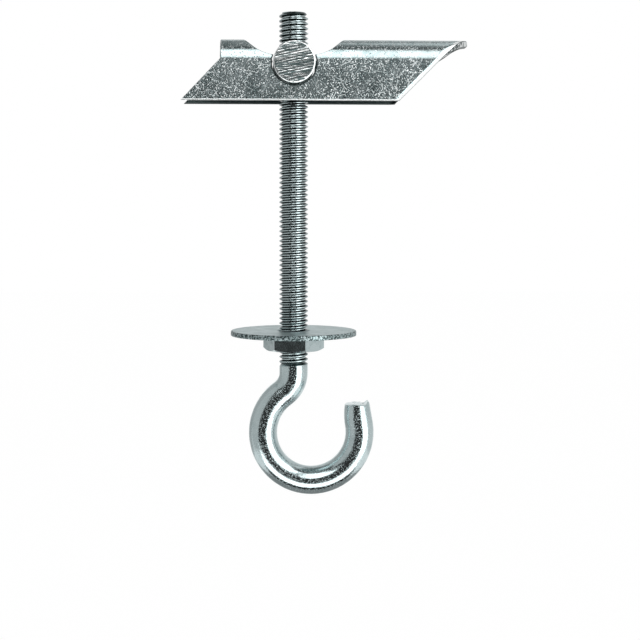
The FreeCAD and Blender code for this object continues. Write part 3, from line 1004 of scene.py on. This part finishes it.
class SWAG_HOOK_OT_hex_nut(Operator):
    """Cuts the thin nut from hexagon bar, bevels its corners and drills it"""

    bl_idname = "swag_hook.hex_nut"
    bl_label = "Hexagon nut"
    bl_options = {"REGISTER", "UNDO"}

    def execute(self, context):
        settings = context.scene.swag_hook
        sizes = settings.nut
        middle = (sizes.low + sizes.high) / 2
        flat = sizes.width / 2
        corner = sizes.width / sqrt(3)
        deselect()
        bpy.ops.mesh.primitive_cylinder_add(
            vertices=6,
            radius=corner,
            depth=sizes.high - sizes.low,
            location=(0, 0, middle),
            rotation=(0, 0, sizes.turn + pi / 6),
        )
        piece = added("thin_hex_nut")
        outside = corner + MM
        rise = (outside - flat) * tan(sizes.bevel)
        bevels = [
            (flat, sizes.low),
            (outside, sizes.low + rise),
            (outside, sizes.high - rise),
            (flat, sizes.high),
        ]
        combine(piece, turn("bevelled_blank", bevels, steps=120, filled=True), "INTERSECT")
        sink = sizes.mouth - sizes.hole
        beyond = MM
        drill = [
            (sizes.mouth + beyond, sizes.low - beyond),
            (sizes.hole, sizes.low + sink),
            (sizes.hole, sizes.high - sink),
            (sizes.mouth + beyond, sizes.high + beyond),
        ]
        combine(piece, turn("countersunk_drill", drill, steps=72, filled=True), "DIFFERENCE")
        rounding = {"width": sizes.edge, "segments": 2}
        add_modifier(piece, "BEVEL", **rounding, limit_method="ANGLE", angle_limit=radians(24))
        smooth(piece, degrees=30)
        install(piece, "nut", "hex_nut", smooth_nut(settings.finish))
        return {"FINISHED"}


# Stage

# Size of the floor, strength of its glow and share of the glow where the floor is seen plainly
FLOOR_SIZE = 12
FLOOR_GLOW = 1.06
FLOOR_GLOW_SHARE = 0.85
# Of each card: name, azimuth towards +X, elevation, width and height in degrees, distance and tone
CARDS = (
    ("front_card", -7, -4, 66, 44, 0.45, 0.045),
    ("left_card", -71, 12, 62, 84, 0.60, 0.60),
    ("left_brow_card", -33, 38, 22, 40, 0.60, 0.08),
    ("right_brow_card", 17, 38, 16, 40, 0.60, 0.08),
    ("back_left_card", -127, 12, 50, 84, 0.60, 0.50),
    ("right_card", 108, 12, 82, 84, 0.60, 0.74),
    ("brow_card", 0, 68, 80, 20, 0.60, 0.03),
    ("top_card", 0, 104, 80, 52, 0.60, 0.28),
    ("top_right_card", 125, 66, 30, 30, 0.55, 0.90),
    ("back_card", 180, 34, 60, 34, 0.60, 0.70),
    ("foot_card", 0, -70, 76, 22, 0.35, 0.02),
    ("back_foot_card", 180, -70, 76, 59, 0.35, 0.32),
)
# The same of each soft lamp, with its brightness in place of the tone
LAMPS = (
    ("key_lamp", 46, 10, 42, 80, 0.57, 1.8),
    ("top_lamp", -4, 38, 36, 40, 0.57, 1.8),
    ("low_lamp", 0, -45, 72, 25, 0.33, 1.8),
)
AIM = Vector((0.002, 0, -0.030))


def around(azimuth, elevation, reach):
    """Place on a ball round the object, and the turn that faces its middle."""
    turn_z, climb = radians(azimuth), radians(elevation)
    away = Vector((sin(turn_z) * cos(climb), -cos(turn_z) * cos(climb), sin(climb)))
    return AIM + away * reach, away.to_track_quat("Z", "Y").to_euler()


def spread(degrees, reach):
    """Width that fills an angle at a distance."""
    return 2 * reach * tan(radians(degrees) / 2)


def seen_plainly(nodes):
    """1 for rays that show the surroundings as they are: from the camera, a gloss or through glass."""
    kinds = ("Camera", "Glossy", "Transmission")
    rays = [nodes.add("ShaderNodeLightPath", output=f"Is {kind} Ray") for kind in kinds]
    return nodes.add("ShaderNodeMath", {"operation": "MINIMUM"}, {0: rays[0] + rays[1] + rays[2], 1: 1})


class SWAG_HOOK_OT_stage(Operator):
    """Sets up the white floor and surroundings, the cards, the lamps and the camera"""

    bl_idname = "swag_hook.stage"
    bl_label = "White stage"
    bl_options = {"REGISTER", "UNDO"}

    def execute(self, context):
        stage = context.scene.swag_hook.stage
        context.scene.view_settings.view_transform = "Standard"
        self.surround(context.scene, stage)
        self.lay_floor(stage)
        for card in CARDS:
            self.hang_card(*card)
        for lamp in LAMPS:
            self.set_lamp(*lamp)
        self.set_camera(context.scene, stage)
        return {"FINISHED"}

    def surround(self, scene, stage):
        """White surroundings, weaker on dull surfaces."""
        scene.world = bpy.data.worlds.new("white_surround")
        nodes = Nodes(scene.world)
        strength = stage.plain_light + seen_plainly(nodes) * (1 - stage.plain_light)
        white = nodes.add("ShaderNodeBackground", {}, {"Color": (1, 1, 1, 1), "Strength": strength})
        nodes.add("ShaderNodeOutputWorld", {}, {"Surface": white})

    def lay_floor(self, stage):
        """White floor that glows where it is seen plainly."""
        deselect()
        bpy.ops.mesh.primitive_plane_add(size=FLOOR_SIZE, location=(0, 0, stage.floor))
        floor = added("floor")
        material, nodes = new_material("white_floor")
        board = nodes.add("ShaderNodeBsdfDiffuse", {}, {"Color": (0.9, 0.9, 0.9, 1)})
        glow = nodes.add("ShaderNodeEmission", {}, {"Color": (1, 1, 1, 1), "Strength": FLOOR_GLOW})
        share_of_glow = seen_plainly(nodes) * FLOOR_GLOW_SHARE
        mixed = nodes.add("ShaderNodeMixShader", {}, {0: share_of_glow, 1: board, 2: glow})
        nodes.add("ShaderNodeOutputMaterial", {}, {"Surface": mixed})
        floor.data.materials.append(material)

    def hang_card(self, name, azimuth, elevation, width, height, reach, tone):
        """Evenly lit card that only shows in reflections."""
        place, facing = around(azimuth, elevation, reach)
        deselect()
        bpy.ops.mesh.primitive_plane_add(size=1, location=place, rotation=facing)
        card = bpy.context.object
        card.name = name
        card.scale = (spread(width, reach), spread(height, reach), 1)
        card.visible_camera = False
        card.visible_shadow = False
        material, nodes = new_material(name)
        glow = nodes.add("ShaderNodeEmission", {}, {"Color": (tone, tone, tone, 1), "Strength": 1.0})
        nodes.add("ShaderNodeOutputMaterial", {}, {"Surface": glow})
        card.data.materials.append(material)

    def set_lamp(self, name, azimuth, elevation, width, height, reach, brightness):
        """Soft lamp of an even brightness over its whole area."""
        place, facing = around(azimuth, elevation, reach)
        bpy.ops.object.light_add(type="AREA", location=place, rotation=facing)
        lamp = bpy.context.object
        lamp.name = name
        lamp.visible_camera = False
        lamp.data.shape = "RECTANGLE"
        lamp.data.size = spread(width, reach)
        lamp.data.size_y = spread(height, reach)
        lamp.data.energy = brightness * pi * lamp.data.size * lamp.data.size_y

    def set_camera(self, scene, stage):
        """Camera at its place, tilted, swung and rolled as the settings say."""
        bpy.ops.object.camera_add(location=stage.place)
        camera = bpy.context.object
        level = Matrix.Rotation(stage.swing, 3, "Z") @ Matrix.Rotation(pi / 2 - stage.tilt, 3, "X")
        camera.rotation_euler = (level @ Matrix.Rotation(stage.roll, 3, "Z")).to_euler()
        camera.data.lens = stage.lens
        camera.data.shift_y = stage.shift
        camera.data.clip_start = 0.01
        scene.camera = camera


# Panel and registration

class SWAG_HOOK_PT_pieces(Panel):
    """Lists the pieces, their sizes and the stage"""

    bl_label = "Swag hook"
    bl_idname = "SWAG_HOOK_PT_pieces"
    bl_space_type = "VIEW_3D"
    bl_region_type = "UI"
    bl_category = "Swag hook"

    def draw(self, context):
        for group_name, operator in PANEL_ROWS:
            group = getattr(context.scene.swag_hook, group_name)
            box = self.layout.box()
            if operator:
                box.operator(operator.bl_idname)
            for name in group.__annotations__:
                box.prop(group, name)


PANEL_ROWS = (
    ("channel", SWAG_HOOK_OT_channel),
    ("bar", SWAG_HOOK_OT_cross_nut),
    ("rod", SWAG_HOOK_OT_hook_rod),
    ("washer", SWAG_HOOK_OT_washer),
    ("nut", SWAG_HOOK_OT_hex_nut),
    ("finish", None),
    ("stage", SWAG_HOOK_OT_stage),
)
CLASSES = (
    ChannelSettings,
    BarSettings,
    RodSettings,
    WasherSettings,
    NutSettings,
    FinishSettings,
    StageSettings,
    SwagHookSettings,
    SWAG_HOOK_OT_channel,
    SWAG_HOOK_OT_cross_nut,
    SWAG_HOOK_OT_hook_rod,
    SWAG_HOOK_OT_washer,
    SWAG_HOOK_OT_hex_nut,
    SWAG_HOOK_OT_stage,
    SWAG_HOOK_PT_pieces,
)


def register():
    """Registers the classes and gives the scene its settings."""
    for item in CLASSES:
        bpy.utils.register_class(item)
    bpy.types.Scene.swag_hook = PointerProperty(type=SwagHookSettings)


def unregister():
    """Undoes what register does."""
    del bpy.types.Scene.swag_hook
    for item in reversed(CLASSES):
        bpy.utils.unregister_class(item)


def main():
    """Makes the pieces and the stage."""
    register()
    bpy.ops.swag_hook.channel()
    bpy.ops.swag_hook.cross_nut()
    bpy.ops.swag_hook.hook_rod()
    bpy.ops.swag_hook.washer()
    bpy.ops.swag_hook.hex_nut()
    bpy.ops.swag_hook.stage()


if __name__ == "__main__":
    main()
